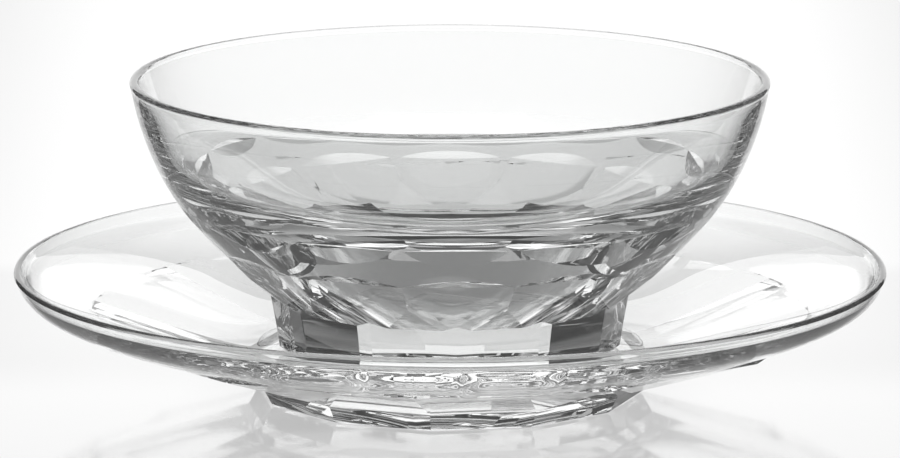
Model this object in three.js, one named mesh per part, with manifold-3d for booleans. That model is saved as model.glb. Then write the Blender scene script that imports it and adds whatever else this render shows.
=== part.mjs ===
// Finger bowl standing on its matching underplate, both of clear cut crystal.
// Millimetres, +Z up. The origin is on the table, under the centre of the plate's foot.
import * as THREE from "three";
import { mergeVertices } from "three/addons/utils/BufferGeometryUtils.js";
import Module from "manifold-3d";

// ---- driving dimensions ----
// underplate
const PLATE_D = 165; // across the rim
const PLATE_H = 24; // table to the top of the rim
const PLATE_WELL_Z = 8.0; // top face of the flat well that the bowl stands on
const PLATE_WELL_R = 36; // radius of the flat well
const PLATE_PANELS = 12; // flat panels around the underside, and flats on the foot
const PLATE_TURN = 9.5; // degrees, turn of the plate's cut pattern about Z
const PLATE_PANEL_R = 67; // where each panel meets its end bevel
const PLATE_PANEL_Z = 13.6; // height of that line
const PLATE_PANEL_SLOPE = 2.95; // radial growth of a panel per mm of height
const PLATE_BEVEL_SLOPE = 4.4; // the same for its end bevel
const PLATE_FOOT_H = 4.4; // highest point of the foot's flats

// bowl
const BOWL_RIM_D = 120.6; // across the rim
const BOWL_TOP_Z = 60; // table to the top of the rim
const BOWL_GAP = 0.2; // clearance between the bowl's base and the plate's well
const BOWL_BASE_Z = PLATE_WELL_Z + BOWL_GAP;
const FLOOR_Z = 19.06; // inner floor of the bowl on its axis
const PANEL_AZIMUTHS = [
  // middles of the large flat panels around the lower bowl, degrees from -Y
  // towards +X; cut by hand, so not quite evenly spaced
  2.3, 29.4, 58.8, 88.5, 119, 149.6, 180, 210.4, 242, 275, 304.4, 334.6,
];
const ARCH_TOP_R = 45.83; // distance from the axis of the top of each panel's arch
const ARCH_TOP_Z = 30.2; // its height
const ARCH_Z = 28.5; // where the arch's bevel meets the panel
const ARCH_SLOPE = 1.7; // radial growth of the bevel per mm of height
const PANEL_SLOPE = 0.97; // the same for the panel
const KITE_TOP_Z = 24.0; // tip of the kite facets cut over the panels' lower ridges
const KITE_BASE_Z = 17.8; // where they meet the foot
const KITE_HALF = 10.1; // degrees, half the width of a kite facet at its base
const LENSES = 15; // narrow horizontal lens cuts
const LENS_TURN = 1.3; // degrees, turn of the ring of lens cuts
const LENS_BASE_R = 48.83; // distance from the axis of the foot of a lens cut
const LENS_BASE_Z = 33.5; // its height
const LENS_TOP_Z = 36.8; // where the cut's face meets its short upper shoulder
const LENS_SLOPE = 0.5; // radial growth of the face per mm of height
const LENS_SHOULDER_SLOPE = 2.5; // the same for the shoulder

// ---- manifold-3d helpers ----
const wasm = await Module();
wasm.setup();

function solid(geometry, matrix) {
  let g = geometry.clone();
  g.deleteAttribute("normal");
  g.deleteAttribute("uv");
  g = mergeVertices(g, 1e-5);
  if (matrix) g.applyMatrix4(matrix);
  const mesh = new wasm.Mesh({
    numProp: 3,
    vertProperties: new Float32Array(g.attributes.position.array),
    triVerts: new Uint32Array(g.index.array),
  });
  return new wasm.Manifold(mesh);
}

function geometryOf(manifold) {
  const m = manifold.getMesh();
  const g = new THREE.BufferGeometry();
  g.setAttribute(
    "position",
    new THREE.BufferAttribute(new Float32Array(m.vertProperties), 3),
  );
  g.setIndex(new THREE.BufferAttribute(new Uint32Array(m.triVerts), 1));
  g.computeVertexNormals();
  return g;
}

// A solid of revolution about Z from [radius, height] pairs that run from the
// axis at the bottom, out and up, and back to the axis at the top. It has
// `steps` steps, and a cut centred on azimuth `deg` lies evenly between them.
function turned(pairs, steps, deg) {
  const points = pairs.map(([r, z]) => new THREE.Vector2(r, z));
  const lathe = new THREE.LatheGeometry(points, steps);
  const upright = new THREE.Matrix4().makeRotationX(Math.PI / 2);
  const turn = new THREE.Matrix4().makeRotationZ(
    THREE.MathUtils.degToRad(deg + 180 / steps),
  );
  return solid(lathe, turn.multiply(upright));
}

// Matrix of a frame at azimuth `deg` (measured from -Y towards +X): its X axis
// points along (out, up) in the vertical plane, its Y axis runs around.
function frameAt(deg, r, z, out, up) {
  const a = THREE.MathUtils.degToRad(deg);
  const radial = new THREE.Vector3(Math.sin(a), -Math.cos(a), 0);
  const x = radial
    .clone()
    .multiplyScalar(out)
    .add(new THREE.Vector3(0, 0, up))
    .normalize();
  const y = new THREE.Vector3(Math.cos(a), Math.sin(a), 0);
  const zAxis = new THREE.Vector3().crossVectors(x, y);
  const origin = radial.multiplyScalar(r).add(new THREE.Vector3(0, 0, z));
  return new THREE.Matrix4().makeBasis(x, y, zAxis).setPosition(origin);
}

// A block whose inner face is the plane through (r, z) that grows by `slope`
// in radius per mm of height. It reaches `below` and `above` along the plane.
function planeCutter(deg, r, z, slope, width, below, above, depth) {
  const len = below + above;
  const box = new THREE.BoxGeometry(depth, width, len);
  box.translate(depth / 2, 0, (above - below) / 2);
  return solid(box, frameAt(deg, r, z, 1, -slope));
}

const cosd = (d) => Math.cos(THREE.MathUtils.degToRad(d));

// ---- bowl ----
const RIM_R = BOWL_RIM_D / 2;
const LATHE_TURN = 0.4; // degrees, keeps the turned steps off the cuts' edges
const PANEL_R0 = ARCH_TOP_R + ARCH_SLOPE * (ARCH_Z - ARCH_TOP_Z); // panel at ARCH_Z
const panelR = (z) => PANEL_R0 + PANEL_SLOPE * (z - ARCH_Z);
const PANELS = PANEL_AZIMUTHS.length;
const halfPanel = 180 / PANELS;
const RIDGE_AZIMUTHS = PANEL_AZIMUTHS.map((a, i) => {
  const next = PANEL_AZIMUTHS[(i + 1) % PANELS] + (i === PANELS - 1 ? 360 : 0);
  return (a + next) / 2;
});

// outer wall, as [height, radius]
const WALL = [
  [19.6, 35.8],
  [22, 38.1],
  [24, 39.97],
  [26, 41.85],
  [28, 43.75],
  [30, 45.64],
  [32, 47.49],
  [34, 49.25],
  [36, 50.84],
  [38, 52.25],
  [40, 53.51],
  [42, 54.63],
  [44.5, 55.84],
  [47, 56.89],
  [50, 57.97],
  [53, 58.88],
  [56, 59.64],
];
const bowlOuter = [
  [0, 17.2],
  [33.0, 17.2],
  ...WALL.map(([z, r]) => [r, z]),
  [RIM_R - 0.14, 58.6],
  [RIM_R, 59.35],
  [RIM_R - 0.3, 59.82],
  [RIM_R - 0.9, BOWL_TOP_Z],
  [RIM_R - 1.5, 59.8],
  [RIM_R - 1.8, 59.3],
];
const bowlInner = [
  [58.50, 58.93],
  [57.70, 55.94],
  [56.57, 52.53],
  [55.06, 48.78],
  [53.01, 44.78],
  [50.39, 41.64],
  [47.34, 39.42],
  [44.52, 37.83],
  [41.79, 36.39],
  [38.81, 34.82],
  [35.64, 33.14],
  [31.96, 31.14],
  [27.76, 28.92],
  [22.94, 26.68],
  [17.51, 24.45],
  [12.12, 22.36],
  [5.89, 20.07],
];
let body = turned(
  [...bowlOuter, ...bowlInner, [0, FLOOR_Z]],
  96,
  LATHE_TURN,
);

for (const deg of PANEL_AZIMUTHS) {
  body = body.subtract(
    planeCutter(deg, PANEL_R0, ARCH_Z, PANEL_SLOPE, 36, 24, 0, 7),
  );
  body = body.subtract(
    planeCutter(deg, PANEL_R0, ARCH_Z, ARCH_SLOPE, 36, 9, 9, 7),
  );
}

const kiteTopR = panelR(KITE_TOP_Z) / cosd(halfPanel);
const kiteBaseR =
  (panelR(KITE_BASE_Z) / cosd(halfPanel - KITE_HALF)) * cosd(KITE_HALF);
const kiteSlope = (kiteTopR - kiteBaseR) / (KITE_TOP_Z - KITE_BASE_Z);
for (const deg of RIDGE_AZIMUTHS) {
  body = body.subtract(
    planeCutter(deg, kiteBaseR, KITE_BASE_Z, kiteSlope, 30, 9, 16, 7),
  );
}

for (let i = 0; i < LENSES; i++) {
  const deg = LENS_TURN + (i * 360) / LENSES;
  const topR = LENS_BASE_R + LENS_SLOPE * (LENS_TOP_Z - LENS_BASE_Z);
  const face = planeCutter(deg, LENS_BASE_R, LENS_BASE_Z, LENS_SLOPE, 34, 4, 9, 6);
  const shoulder = planeCutter(
    deg,
    topR,
    LENS_TOP_Z,
    LENS_SHOULDER_SLOPE,
    36,
    16,
    8,
    14,
  );
  body = body.subtract(face.intersect(shoulder));
}

// foot: as many flats as panels, its ridges under the middle of the panels
const FOOT = [
  [32.2, BOWL_BASE_Z],
  [34.3, 20.4],
];
const footSlope = (FOOT[1][0] - FOOT[0][0]) / (FOOT[1][1] - FOOT[0][1]);
let foot = turned(
  [
    [0, BOWL_BASE_Z],
    [33.6, BOWL_BASE_Z],
    [35.2, 19.2],
    [31.5, 20.4],
    [0, 20.4],
  ],
  96,
  LATHE_TURN,
);
for (const deg of RIDGE_AZIMUTHS) {
  foot = foot.subtract(
    planeCutter(
      deg,
      FOOT[0][0] * cosd(halfPanel),
      FOOT[0][1],
      footSlope * cosd(halfPanel),
      30,
      4,
      16,
      6,
    ),
  );
}
// the part of the foot that would stand out of the panels is cut back to them
for (const deg of PANEL_AZIMUTHS) {
  foot = foot.subtract(
    planeCutter(deg, panelR(19.1), 19.1, PANEL_SLOPE, 36, 0, 6, 7),
  );
}
const bowlSolid = body.add(foot);

// ---- underplate ----
const PR = PLATE_D / 2;
let plateSolid = turned(
  [
    [0, 2.6],
    [37.2, 2.6],
    [40.6, 4.6],
    [47.6, 7.2],
    [56.0, 9.9],
    [64.0, 12.5],
    [71.3, 15.0],
    [76.0, 16.9],
    [79.2, 18.6],
    [81.2, 20.6],
    [82.2, 22.4],
    [PR, 23.3],
    [PR - 0.25, 23.8],
    [PR - 0.75, PLATE_H],
    [PR - 1.25, 23.8],
    [PR - 1.5, 23.2],
    [80.4, 21.9],
    [79.2, 20.9],
    [77.6, 19.9],
    [74.2, 18.3],
    [70.0, 16.8],
    [65.0, 15.2],
    [60.0, 13.6],
    [50.0, 10.6],
    [42.0, 8.6],
    [39.0, 8.15],
    [PLATE_WELL_R, PLATE_WELL_Z],
    [0, PLATE_WELL_Z],
  ],
  96,
  PLATE_TURN,
);
for (let i = 0; i < PLATE_PANELS; i++) {
  const deg = PLATE_TURN + (i * 360) / PLATE_PANELS;
  plateSolid = plateSolid.subtract(
    planeCutter(deg, PLATE_PANEL_R, PLATE_PANEL_Z, PLATE_PANEL_SLOPE, 60, 33, 0, 5),
  );
  plateSolid = plateSolid.subtract(
    planeCutter(deg, PLATE_PANEL_R, PLATE_PANEL_Z, PLATE_BEVEL_SLOPE, 60, 0, 12, 5),
  );
}
let plateFoot = turned(
  [
    [0, 0],
    [38.4, 0],
    [41.0, PLATE_FOOT_H],
    [34.0, 6.2],
    [0, 6.2],
  ],
  96,
  PLATE_TURN,
);
for (let i = 0; i < PLATE_PANELS; i++) {
  const deg = PLATE_TURN + (i * 360) / PLATE_PANELS;
  const k = cosd(180 / PLATE_PANELS);
  plateFoot = plateFoot.subtract(
    planeCutter(deg, 36.6 * k, 0, 0.55 * k, 40, 4, 9, 8),
  );
  plateFoot = plateFoot.subtract(
    planeCutter(deg, PLATE_PANEL_R, PLATE_PANEL_Z, PLATE_PANEL_SLOPE, 60, 36, 0, 5),
  );
}
plateSolid = plateSolid.add(plateFoot);

const crystal = () =>
  new THREE.MeshStandardMaterial({
    color: 0xeef1f0,
    roughness: 0.03,
    metalness: 0,
    transparent: true,
    opacity: 0.35,
  });

const bowl = new THREE.Mesh(geometryOf(bowlSolid), crystal());
bowl.name = "bowl";

const underplate = new THREE.Mesh(geometryOf(plateSolid), crystal());
underplate.name = "underplate";

const group = new THREE.Group();
group.name = "finger_bowl_with_underplate";
group.add(underplate, bowl);
export default group;
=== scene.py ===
"""Cut-crystal finger bowl on its underplate: the look of both pieces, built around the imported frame."""

import math
from math import cos, radians, sin, sqrt

import bpy
import numpy as np
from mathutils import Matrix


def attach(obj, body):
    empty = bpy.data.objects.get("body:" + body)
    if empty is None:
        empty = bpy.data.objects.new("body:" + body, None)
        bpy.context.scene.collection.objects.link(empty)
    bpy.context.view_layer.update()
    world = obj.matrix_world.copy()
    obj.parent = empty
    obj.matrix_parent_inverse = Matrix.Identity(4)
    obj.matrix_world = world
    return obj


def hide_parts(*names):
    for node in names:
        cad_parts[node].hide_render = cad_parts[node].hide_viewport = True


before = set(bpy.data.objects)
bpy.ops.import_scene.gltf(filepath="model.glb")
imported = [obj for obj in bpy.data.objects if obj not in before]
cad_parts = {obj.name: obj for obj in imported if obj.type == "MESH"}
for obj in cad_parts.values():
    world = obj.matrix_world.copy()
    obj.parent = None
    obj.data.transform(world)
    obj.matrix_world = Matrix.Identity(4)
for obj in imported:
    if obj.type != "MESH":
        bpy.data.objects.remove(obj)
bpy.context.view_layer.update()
scene = bpy.context.scene

# ---------------------------------------------------------------- camera
CAM_D, CAM_E, CAM_F, CAM_Z = 1.250, 11.3936, 6606.0, 0.030805  # metres, degrees, px at 900 wide, metres
e = radians(CAM_E)
cam_data = bpy.data.cameras.new("camera")
cam = bpy.data.objects.new("camera", cam_data)
scene.collection.objects.link(cam)
cam.location = (0.0, -CAM_D * cos(e), CAM_Z + CAM_D * sin(e))
cam.rotation_euler = (math.pi / 2 - e, 0, 0)
cam_data.sensor_width = 36.0
cam_data.lens = CAM_F / 900 * 36
cam_data.clip_start, cam_data.clip_end = 0.02, 60.0
scene.camera = cam


# ---------------------------------------------------------------- curves
class Curve:
    """Smooth cubic r(z) through points, natural ends."""

    def __init__(self, pts):
        p = sorted(pts)
        self.x = np.array([a for a, _ in p], float)
        self.y = np.array([b for _, b in p], float)
        n = len(self.x)
        h = np.diff(self.x)
        A = np.zeros((n, n))
        b = np.zeros(n)
        A[0, 0] = A[-1, -1] = 1
        for i in range(1, n - 1):
            A[i, i - 1] = h[i - 1]
            A[i, i] = 2 * (h[i - 1] + h[i])
            A[i, i + 1] = h[i]
            b[i] = 6 * (
                (self.y[i + 1] - self.y[i]) / h[i]
                - (self.y[i] - self.y[i - 1]) / h[i - 1]
            )
        self.M = np.linalg.solve(A, b)
        self.h = h

    def __call__(self, x):
        x = np.asarray(x, float)
        i = np.clip(np.searchsorted(self.x, x) - 1, 0, len(self.x) - 2)
        h = self.h[i]
        a = (self.x[i + 1] - x) / h
        b = (x - self.x[i]) / h
        return (
            a * self.y[i]
            + b * self.y[i + 1]
            + ((a**3 - a) * self.M[i] + (b**3 - b) * self.M[i + 1]) * h * h / 6
        )


def through(pts, n):
    """Smooth curve through points in the (r, z) plane, n steps a span."""
    P = np.array(pts, float)
    t = np.concatenate(
        [[0], np.cumsum(np.sqrt(np.linalg.norm(np.diff(P, axis=0), axis=1)))]
    )
    X = Curve(list(zip(t, P[:, 0])))
    Z = Curve(list(zip(t, P[:, 1])))
    tt = np.concatenate(
        [np.linspace(t[i], t[i + 1], n, endpoint=False) for i in range(len(t) - 1)]
        + [[t[-1]]]
    )
    return list(zip(X(tt).tolist(), Z(tt).tolist()))


def bisect(f, a, b, n=50):
    fa = f(a)
    for _ in range(n):
        m = (a + b) / 2
        fm = f(m)
        if (fa < 0) == (fm < 0):
            a, fa = m, fm
        else:
            b = m
    return (a + b) / 2


class Cuts:
    """Azimuths of a ring of cuts (degrees from -Y towards +X) and the ridges between them."""

    def __init__(self, centres):
        self.c = sorted(c % 360 for c in centres)
        self.n = len(self.c)
        self.ridges = []
        for i, c in enumerate(self.c):
            nxt = self.c[(i + 1) % self.n] + (360 if i == self.n - 1 else 0)
            self.ridges.append(((c + nxt) / 2) % 360)

    def near(self, az, values=None):
        """Signed degrees from the nearest centre (or the nearest of values) to az."""
        best = None
        for c in values if values is not None else self.c:
            d = (az - c + 180) % 360 - 180
            if best is None or abs(d) < abs(best):
                best = d
        return best


def even(n, turn):
    return [turn + i * 360 / n for i in range(n)]


def column_mesh(name, azimuths, column):
    """Closed surface from a function that gives each azimuth's profile, in mm; both ends lie on the axis."""
    verts, faces, index = [], [], {}

    def vid(p):
        k = (round(p[0], 4), round(p[1], 4), round(p[2], 4))
        if k not in index:
            index[k] = len(verts)
            verts.append(p)
        return index[k]

    cols = []
    for az in azimuths:
        a = radians(az)
        cols.append([vid((r * sin(a), -r * cos(a), z)) for r, z in column(az)])
    n = len(cols[0])
    for i in range(len(cols)):
        A, B = cols[i], cols[(i + 1) % len(cols)]
        for k in range(n - 1):
            u = []
            for v in (A[k], B[k], B[k + 1], A[k + 1]):
                if v not in u:
                    u.append(v)
            if len(u) >= 3:
                faces.append(u)
    me = bpy.data.meshes.new(name)
    me.from_pydata([(x / 1000, y / 1000, z / 1000) for x, y, z in verts], [], faces)
    me.validate()
    me.update()
    return me


def azimuth_set(step, breaks):
    """Even steps round the axis, with every break on a column of its own."""
    br = sorted(b % 360 for b in breaks)
    out = [
        a
        for a in np.arange(0, 360, step)
        if all(min(abs(a - b), 360 - abs(a - b)) > step * 0.3 for b in br)
    ] + br
    return sorted(set(round(float(a), 6) for a in out))


# ---------------------------------------------------------------- bowl
BASE_Z = 8.2
RIM_R = 60.3
TOP_Z = 60.0
PANEL_CENTRES = [  # listed one by one, so not quite even
    2.3, 29.4, 58.8, 88.5, 119, 149.6, 180, 210.4, 242, 275, 304.4, 334.6,
]
LENS_CENTRES = even(15, 1.3)
ARCH_R, ARCH_Z, ARCH_LOW_Z = 45.83, 30.2, 28.5
PANEL_SLOPE, ARCH_SLOPE = 0.97, 1.7
KITE_TOP, KITE_BASE, KITE_HALF = 24.0, 17.8, 10.1
LENS_Z, LENS_R, LENS_SLOPE = 33.5, 48.83, 0.5  # foot of the flat lens cuts, their radius there and slope
LENS_TOP, LENS_SHOULDER = 36.8, 2.5  # where the face meets its shoulder, and the shoulder's slope
WALL = Curve(
    [
        (18, 34.3),
        (22, 38.1),
        (26, 41.85),
        (30, 45.64),
        (34, 49.25),
        (38, 52.25),
        (42, 54.63),
        (46, 56.48),
        (50, 57.97),
        (54, 59.15),
        (58.6, 60.16),
    ]
)
FOOT = Curve([(8.2, 32.2), (11, 32.6), (14, 33.1), (16.5, 33.55), (20, 34.2)])
INNER_TOP = 62.0  # the inside is a curve of radii about this height on the axis, by angle below level
INNER = [
    (3, 58.58),
    (8, 57.64),
    (14, 56.54),
    (21, 54.78),
    (29, 50.37),
    (38, 46.21),
    (50, 43.18),
    (63, 41.54),
    (76, 41.66),
    (90, 42.94),
]


def bowl_mesh():
    panels, lenses = Cuts(PANEL_CENTRES), Cuts(LENS_CENTRES)
    mean_half = 180 / panels.n
    a0 = ARCH_R + ARCH_SLOPE * (ARCH_LOW_Z - ARCH_Z)

    def panel(z):
        return a0 + PANEL_SLOPE * (z - ARCH_LOW_Z)

    def bevel(z):
        return a0 + ARCH_SLOPE * (z - ARCH_LOW_Z)

    k_top = panel(KITE_TOP) / cos(radians(mean_half))
    k_bot = (
        panel(KITE_BASE) / cos(radians(mean_half - KITE_HALF)) * cos(radians(KITE_HALF))
    )
    k_slope = (k_top - k_bot) / (KITE_TOP - KITE_BASE)

    def kite(z):
        return k_bot + k_slope * (z - KITE_BASE)

    def face(z):
        return LENS_R + LENS_SLOPE * (z - LENS_Z)

    def shoulder(z):
        return face(LENS_TOP) + LENS_SHOULDER * (z - LENS_TOP)

    radius = Curve(INNER + [(180 - t, q) for t, q in INNER[-2::-1]])
    inner = [
        (float(radius(t)) * cos(radians(t)), INNER_TOP - float(radius(t)) * sin(radians(t)))
        for t in np.linspace(INNER[0][0], 90, 90)
    ]
    inner[-1] = (0, inner[-1][1])
    rim = through(
        [
            (float(WALL(58.6)), 58.6),
            (RIM_R, 59.25),
            (RIM_R - 0.12, 59.6),
            (RIM_R - 0.42, 59.88),
            (RIM_R - 0.9, TOP_Z),
            (RIM_R - 1.4, 59.86),
            (RIM_R - 1.8, 59.3),
        ],
        4,
    )

    def column(az):
        ca = cos(radians(panels.near(az)))
        c2 = cos(radians(panels.near(az, panels.ridges)))
        cl = lenses.near(az)
        h = cos(radians(mean_half))
        out = [(0, BASE_Z)]

        def foot(z):
            return float(FOOT(z)) * h / c2

        R0 = foot(BASE_Z)
        out += [((R0 - 0.45) * k, BASE_Z) for k in (0.3, 0.6, 0.85, 1)]
        zj = bisect(lambda z: min(panel(z) / ca, kite(z) / c2) - foot(z), 16.5, 23.0)
        out += [(foot(z), float(z)) for z in np.linspace(BASE_Z + 0.45, zj, 12)]
        zk = zj
        if kite(zj) / c2 < panel(zj) / ca:
            zk = bisect(lambda z: kite(z) / c2 - panel(z) / ca, zj, KITE_TOP + 1.5)
        out += [
            (kite(z) / c2 if zk > zj else foot(zj), float(z))
            for z in np.linspace(zj, zk, 6)[1:]
        ]
        zt = ARCH_LOW_Z
        if panel(zt) / ca > float(WALL(zt)):
            zt = bisect(lambda z: panel(z) / ca - float(WALL(z)), 22, ARCH_LOW_Z)
            zb = zt
        else:
            zb = bisect(lambda z: bevel(z) / ca - float(WALL(z)), ARCH_LOW_Z, 40)
        out += [(panel(z) / ca, float(z)) for z in np.linspace(zk, zt, 8)[1:]]
        out += [
            ((bevel(z) if zb > zt else panel(z)) / ca, float(z))
            for z in np.linspace(zt, zb, 4)[1:]
        ]
        c = cos(radians(cl))
        if face(LENS_TOP) / c >= float(WALL(LENS_TOP)):
            z0 = z1 = LENS_TOP
            cut = [(float(WALL(z0)), z0)] * 8
        else:
            z0 = bisect(lambda z: face(z) / c - float(WALL(z)), LENS_Z - 1.5, LENS_TOP)
            z1 = bisect(lambda z: shoulder(z) / c - float(WALL(z)), LENS_TOP, LENS_TOP + 3)
            cut = [(face(z) / c, float(z)) for z in np.linspace(z0, LENS_TOP, 8)[1:]]
            cut.append((shoulder((LENS_TOP + z1) / 2) / c, (LENS_TOP + z1) / 2))
        out += [(float(WALL(z)), float(z)) for z in np.linspace(zb, z0, 9)[1:]]
        out += cut
        out += [(float(WALL(z)), float(z)) for z in np.linspace(z1, 58.6, 26)]
        return out + rim[1:] + inner

    breaks = panels.c + panels.ridges + lenses.ridges
    for c, r in zip(panels.c, panels.ridges):
        breaks += [r - KITE_HALF, r + KITE_HALF]
    half = math.degrees(math.acos(face(LENS_TOP) / float(WALL(LENS_TOP))))
    for c in lenses.c:
        breaks += [c - half, c + half]
    return column_mesh("bowl_crystal", azimuth_set(1.0, breaks), column)


# ---------------------------------------------------------------- underplate
WELL_Z, WELL_R = 8.0, 36.0
PLATE_CENTRES = even(12, 9.5)
P_R, P_Z, P_SLOPE, P_BEVEL = 67.0, 13.6, 2.95, 4.4
UNDER = Curve(
    [
        (2.6, 37.2),
        (4.6, 40.6),
        (7.2, 47.6),
        (9.9, 56.0),
        (12.5, 64.0),
        (15.0, 71.3),
        (16.9, 76.0),
        (18.6, 79.2),
        (20.6, 81.2),
        (22.4, 82.2),
        (23.3, 82.5),
    ]
)
P_FOOT = Curve([(0.0, 36.6), (2.6, 38.0), (5, 39.4)])
P_INNER = [
    (80.4, 21.9),
    (77.6, 19.9),
    (70.0, 16.8),
    (60.0, 13.6),
    (50.0, 10.6),
    (42, 8.6),
]


def plate_mesh():
    cuts = Cuts(PLATE_CENTRES)
    h = cos(radians(180 / cuts.n))
    inner = through([(81.0, 23.2)] + P_INNER + [(WELL_R, WELL_Z), (30, WELL_Z)], 8)
    inner = [q for q in inner if q[0] >= WELL_R]
    rim = through(
        [(82.5, 23.3), (82.25, 23.8), (81.75, 24.0), (81.25, 23.8), (81.0, 23.2)], 4
    )

    def panel(z):
        return P_R + P_SLOPE * (z - P_Z)

    def bevel(z):
        return P_R + P_BEVEL * (z - P_Z)

    def column(az):
        c = cos(radians(cuts.near(az)))

        def foot(z):
            return float(P_FOOT(z)) * h / c

        R0 = foot(0)
        out = [(0, 0.0)] + [((R0 - 0.35) * q, 0.0) for q in (0.3, 0.6, 0.85, 1)]
        zj = bisect(lambda z: panel(z) / c - foot(z), 0.5, 6.0)
        out += [(foot(z), float(z)) for z in np.linspace(0.35, zj, 6)]
        zt = P_Z
        if panel(zt) / c > float(UNDER(zt)):
            zt = bisect(lambda z: panel(z) / c - float(UNDER(z)), 5, P_Z)
            zb = zt
        else:
            zb = bisect(lambda z: bevel(z) / c - float(UNDER(z)), P_Z, 22)
        out += [(panel(z) / c, float(z)) for z in np.linspace(zj, zt, 10)[1:]]
        out += [
            ((bevel(z) if zb > zt else panel(z)) / c, float(z))
            for z in np.linspace(zt, zb, 4)[1:]
        ]
        out += [(float(UNDER(z)), float(z)) for z in np.linspace(zb, 23.3, 26)[1:]]
        out += rim[1:] + inner[1:]
        return out + [(WELL_R * q, WELL_Z) for q in (0.8, 0.5, 0.25)] + [(0, WELL_Z)]

    return column_mesh(
        "underplate_crystal", azimuth_set(1.0, cuts.c + cuts.ridges), column
    )


# ---------------------------------------------------------------- crystal
def crystal(name, seed):
    """Polished lead crystal: faint polishing waves, tiny hairlines and a trace of handling haze."""
    m = bpy.data.materials.new(name)
    m.use_nodes = True
    nt = m.node_tree
    nt.nodes.clear()
    N, L = nt.nodes.new, nt.links.new
    out = N("ShaderNodeOutputMaterial")
    glass = N("ShaderNodeBsdfPrincipled")
    glass.inputs["Base Color"].default_value = (0.985, 0.99, 0.988, 1)
    glass.inputs["IOR"].default_value = 1.54
    glass.inputs["Transmission Weight"].default_value = 1.0
    L(glass.outputs[0], out.inputs["Surface"])
    tc = N("ShaderNodeTexCoord")
    place = N("ShaderNodeMapping")
    place.inputs["Location"].default_value = (seed * 0.37, seed * 0.11, seed * 0.53)
    L(tc.outputs["Object"], place.inputs[0])
    # hairlines: thin stretched noise, about 0.1 mm wide and some mm long
    lines = N("ShaderNodeTexNoise")
    lines.inputs["Scale"].default_value = 900
    lines.inputs["Detail"].default_value = 3
    stretch = N("ShaderNodeMapping")
    stretch.inputs["Scale"].default_value = (0.05, 1, 1)
    stretch.inputs["Rotation"].default_value = (0.4, 0.2, 0.9)
    L(place.outputs[0], stretch.inputs[0])
    L(stretch.outputs[0], lines.inputs[0])
    haze = N("ShaderNodeTexNoise")
    haze.inputs["Scale"].default_value = 45
    haze.inputs["Detail"].default_value = 4
    L(place.outputs[0], haze.inputs[0])
    r1 = N("ShaderNodeMapRange")
    r1.inputs["From Min"].default_value = 0.66
    r1.inputs["From Max"].default_value = 0.8
    r1.inputs["To Max"].default_value = 0.02
    L(lines.outputs[0], r1.inputs[0])
    r2 = N("ShaderNodeMapRange")
    r2.inputs["From Min"].default_value = 0.5
    r2.inputs["From Max"].default_value = 0.75
    r2.inputs["To Max"].default_value = 0.008
    L(haze.outputs[0], r2.inputs[0])
    add = N("ShaderNodeMath")
    add.operation = "ADD"
    L(r1.outputs[0], add.inputs[0])
    L(r2.outputs[0], add.inputs[1])
    L(add.outputs[0], glass.inputs["Roughness"])
    # polishing waves, some mm long and well under a micrometre high
    wave = N("ShaderNodeTexNoise")
    wave.inputs["Scale"].default_value = 130
    wave.inputs["Detail"].default_value = 1
    L(place.outputs[0], wave.inputs[0])
    bump = N("ShaderNodeBump")
    bump.inputs["Strength"].default_value = 0.02
    bump.inputs["Distance"].default_value = 0.0002
    L(wave.outputs[0], bump.inputs["Height"])
    L(bump.outputs[0], glass.inputs["Normal"])
    return m


def piece(mesh, body, node, material):
    o = bpy.data.objects.new(mesh.name, mesh)
    scene.collection.objects.link(o)
    mesh.materials.append(material)
    for p in mesh.polygons:
        p.use_smooth = True
    mesh.set_sharp_from_angle(angle=radians(6))
    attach(o, body)
    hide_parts(node)
    return o


piece(bowl_mesh(), "bowl", "bowl", crystal("crystal_bowl", 1))
piece(
    plate_mesh(), "underplate", "underplate", crystal("crystal_plate", 2)
)


# ---------------------------------------------------------------- floor, backdrop, light
def plain(name, verts, material):
    me = bpy.data.meshes.new(name)
    me.from_pydata(verts, [], [(0, 1, 2, 3)])
    me.update()
    o = bpy.data.objects.new(name, me)
    scene.collection.objects.link(o)
    me.materials.append(material)
    return o


def white_wall(value, corner):
    """Glowing white backdrop with painted shade that dims it towards its two upper corners, and see-through
    from behind.
    """
    m = bpy.data.materials.new("studio_backdrop")
    m.use_nodes = True
    nt = m.node_tree
    nt.nodes.clear()
    N, L = nt.nodes.new, nt.links.new
    place = N("ShaderNodeTexCoord")
    xyz = N("ShaderNodeSeparateXYZ")
    L(place.outputs["Object"], xyz.inputs[0])
    aside = N("ShaderNodeMath")
    aside.operation = "ABSOLUTE"
    L(xyz.outputs["X"], aside.inputs[0])
    reach = N("ShaderNodeMath")
    reach.operation = "ADD"
    L(aside.outputs[0], reach.inputs[0])
    L(xyz.outputs["Z"], reach.inputs[1])
    # painted shade: the glow dims towards the two upper corners
    corner_shade = N("ShaderNodeMapRange")
    corner_shade.interpolation_type = "SMOOTHSTEP"
    corner_shade.inputs["From Min"].default_value = 0.925
    corner_shade.inputs["From Max"].default_value = 0.975
    corner_shade.inputs["To Min"].default_value = value
    corner_shade.inputs["To Max"].default_value = corner
    L(reach.outputs[0], corner_shade.inputs[0])
    o = N("ShaderNodeOutputMaterial")
    g = N("ShaderNodeEmission")
    g.inputs[0].default_value = (1, 1, 1, 1)
    L(corner_shade.outputs[0], g.inputs["Strength"])
    side_seen = N("ShaderNodeNewGeometry")
    clear = N("ShaderNodeBsdfTransparent")
    both = N("ShaderNodeMixShader")
    L(side_seen.outputs["Backfacing"], both.inputs[0])
    L(g.outputs[0], both.inputs[1])
    L(clear.outputs[0], both.inputs[2])
    L(both.outputs[0], o.inputs[0])
    return m


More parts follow.
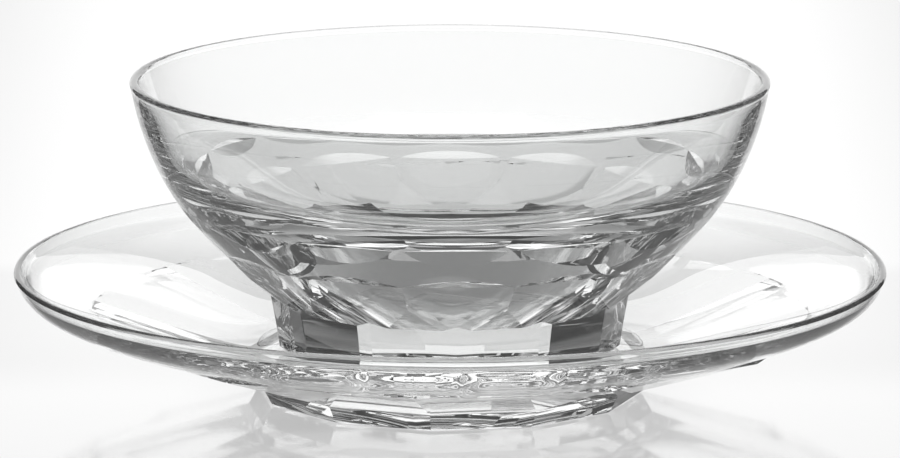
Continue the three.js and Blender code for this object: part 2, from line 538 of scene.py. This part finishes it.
def painted_light_floor():
    """Polished white table that glows with painted light, brighter towards the back and fading to the sides,
    with painted shade along the middle and under the foot and a painted sheen in front; it mirrors only at a
    shallow angle.
    """
    m = bpy.data.materials.new("studio_floor")
    m.use_nodes = True
    nt = m.node_tree
    nt.nodes.clear()
    N, L = nt.nodes.new, nt.links.new
    place = N("ShaderNodeTexCoord")
    xyz = N("ShaderNodeSeparateXYZ")
    L(place.outputs["Object"], xyz.inputs[0])
    depth = N("ShaderNodeMapRange")
    depth.inputs["From Min"].default_value = PAINTED_FLOOR_GLOW[0][0]
    depth.inputs["From Max"].default_value = PAINTED_FLOOR_GLOW[-1][0]
    L(xyz.outputs["Y"], depth.inputs[0])
    ramp = N("ShaderNodeValToRGB")
    span = PAINTED_FLOOR_GLOW[-1][0] - PAINTED_FLOOR_GLOW[0][0]
    for y, v in PAINTED_FLOOR_GLOW[1:-1]:
        ramp.color_ramp.elements.new((y - PAINTED_FLOOR_GLOW[0][0]) / span)
    for stop, (y, v) in zip(ramp.color_ramp.elements, PAINTED_FLOOR_GLOW):
        stop.color = (v, v, v, 1)
    L(depth.outputs[0], ramp.inputs[0])
    # painted light: the glow falls off towards the sides
    aside = N("ShaderNodeMath")
    aside.operation = "ABSOLUTE"
    L(xyz.outputs["X"], aside.inputs[0])
    side = N("ShaderNodeMapRange")
    side.interpolation_type = "SMOOTHSTEP"
    side.inputs["From Min"].default_value = 0.06
    side.inputs["From Max"].default_value = 0.16
    side.inputs["To Min"].default_value = 1.0
    side.inputs["To Max"].default_value = 0.1
    L(aside.outputs[0], side.inputs[0])
    level = N("ShaderNodeMath")
    level.operation = "MULTIPLY"
    L(ramp.outputs[0], level.inputs[0])
    L(side.outputs[0], level.inputs[1])
    # a little less light along the middle, up to just behind the plate
    middle = N("ShaderNodeMapRange")
    middle.interpolation_type = "SMOOTHSTEP"
    middle.inputs["From Min"].default_value = 0.034
    middle.inputs["From Max"].default_value = 0.052
    middle.inputs["To Min"].default_value = 0.76
    middle.inputs["To Max"].default_value = 1.0
    L(aside.outputs[0], middle.inputs[0])
    behind = N("ShaderNodeMapRange")
    behind.interpolation_type = "SMOOTHSTEP"
    behind.inputs["From Min"].default_value = 0.106
    behind.inputs["From Max"].default_value = 0.119
    L(xyz.outputs["Y"], behind.inputs[0])
    strip = N("ShaderNodeMix")
    L(behind.outputs[0], strip.inputs["Factor"])
    L(middle.outputs[0], strip.inputs["A"])
    strip.inputs["B"].default_value = 1.0
    striped = N("ShaderNodeMath")
    striped.operation = "MULTIPLY"
    L(level.outputs[0], striped.inputs[0])
    L(strip.outputs["Result"], striped.inputs[1])
    # less light right under the foot
    under = N("ShaderNodeVectorMath")
    under.operation = "DISTANCE"
    under.inputs[1].default_value = (0, -0.01, 0)
    L(place.outputs["Object"], under.inputs[0])
    shade = N("ShaderNodeMapRange")
    shade.interpolation_type = "SMOOTHSTEP"
    shade.inputs["From Min"].default_value = 0.012
    shade.inputs["From Max"].default_value = 0.055
    shade.inputs["To Min"].default_value = 0.45
    shade.inputs["To Max"].default_value = 1.0
    L(under.outputs["Value"], shade.inputs[0])
    shaded = N("ShaderNodeMath")
    shaded.operation = "MULTIPLY"
    L(striped.outputs[0], shaded.inputs[0])
    L(shade.outputs[0], shaded.inputs[1])
    # the painted light and shade are emitted by the table's surface itself
    painted_glow = N("ShaderNodeEmission")
    L(shaded.outputs[0], painted_glow.inputs["Strength"])
    matt = N("ShaderNodeBsdfDiffuse")
    matt.inputs["Color"].default_value = (0.4, 0.4, 0.4, 1)
    body = N("ShaderNodeAddShader")
    L(painted_glow.outputs[0], body.inputs[0])
    L(matt.outputs[0], body.inputs[1])
    shine = N("ShaderNodeBsdfGlossy")
    shine.inputs["Roughness"].default_value = 0.07
    angle = N("ShaderNodeLayerWeight")
    angle.inputs["Blend"].default_value = 0.5
    power = N("ShaderNodeMath")
    power.operation = "POWER"
    power.inputs[1].default_value = 1.5
    L(angle.outputs["Facing"], power.inputs[0])
    mix = N("ShaderNodeMixShader")
    L(power.outputs[0], mix.inputs[0])
    L(body.outputs[0], mix.inputs[1])
    L(shine.outputs[0], mix.inputs[2])
    # painted sheen: a white glow in front of the foot, seen only at a shallow angle
    front = N("ShaderNodeMapRange")
    front.interpolation_type = "SMOOTHSTEP"
    front.inputs["From Min"].default_value = -0.01
    front.inputs["From Max"].default_value = 0.03
    front.inputs["To Min"].default_value = 0.8
    front.inputs["To Max"].default_value = 0.0
    L(xyz.outputs["Y"], front.inputs[0])
    cube = N("ShaderNodeMath")
    cube.operation = "POWER"
    cube.inputs[1].default_value = 3.0
    L(angle.outputs["Facing"], cube.inputs[0])
    share = N("ShaderNodeMath")
    share.operation = "MULTIPLY"
    L(cube.outputs[0], share.inputs[0])
    L(front.outputs[0], share.inputs[1])
    painted_sheen = N("ShaderNodeEmission")
    painted_sheen.inputs["Strength"].default_value = 1.08
    whole = N("ShaderNodeMixShader")
    L(share.outputs[0], whole.inputs[0])
    L(mix.outputs[0], whole.inputs[1])
    L(painted_sheen.outputs[0], whole.inputs[2])
    out = N("ShaderNodeOutputMaterial")
    L(whole.outputs[0], out.inputs["Surface"])
    return m


# painted light: how brightly the table glows, by metres towards the back
PAINTED_FLOOR_GLOW = [
    (-0.3, 0.15), (-0.12, 0.45), (-0.05, 0.6), (0.0, 0.75), (0.05, 0.85),
    (0.106, 0.9), (0.119, 1.18), (0.35, 1.25),
]
FX, FY0, FY1 = 0.9, -0.9, 1.2
FZ = -0.00012  # a hair below the plate's foot, so that the two surfaces do not coincide
plain(
    "studio_floor",
    [(-FX, FY0, FZ), (FX, FY0, FZ), (FX, FY1, FZ), (-FX, FY1, FZ)],
    painted_light_floor(),
)
BW = 0.56
plain(
    "studio_backdrop",
    [(-BW, FY1, -0.02), (BW, FY1, -0.02), (BW, FY1, 0.75), (-BW, FY1, 0.75)],
    white_wall(1.22, 0.4),
)
top = bpy.data.lights.new("softbox", "AREA")
top.shape = "RECTANGLE"
top.size = top.size_y = 0.9
top.energy = 1.0
top_o = bpy.data.objects.new("softbox", top)
scene.collection.objects.link(top_o)
top_o.location = (0, 0, 1.1)

world = bpy.data.worlds.new("studio")
scene.world = world
world.use_nodes = True
bg = world.node_tree.nodes["Background"]
bg.inputs[0].default_value = (0.04, 0.04, 0.04, 1)
bg.inputs[1].default_value = 1

scene.view_settings.view_transform = "Standard"
# light runs along inside the plate's thin wall by many total reflections
scene.cycles.max_bounces = 64
scene.cycles.transmission_bounces = 32
scene.cycles.glossy_bounces = 56
scene.cycles.use_denoising = True

bpy.context.view_layer.update()
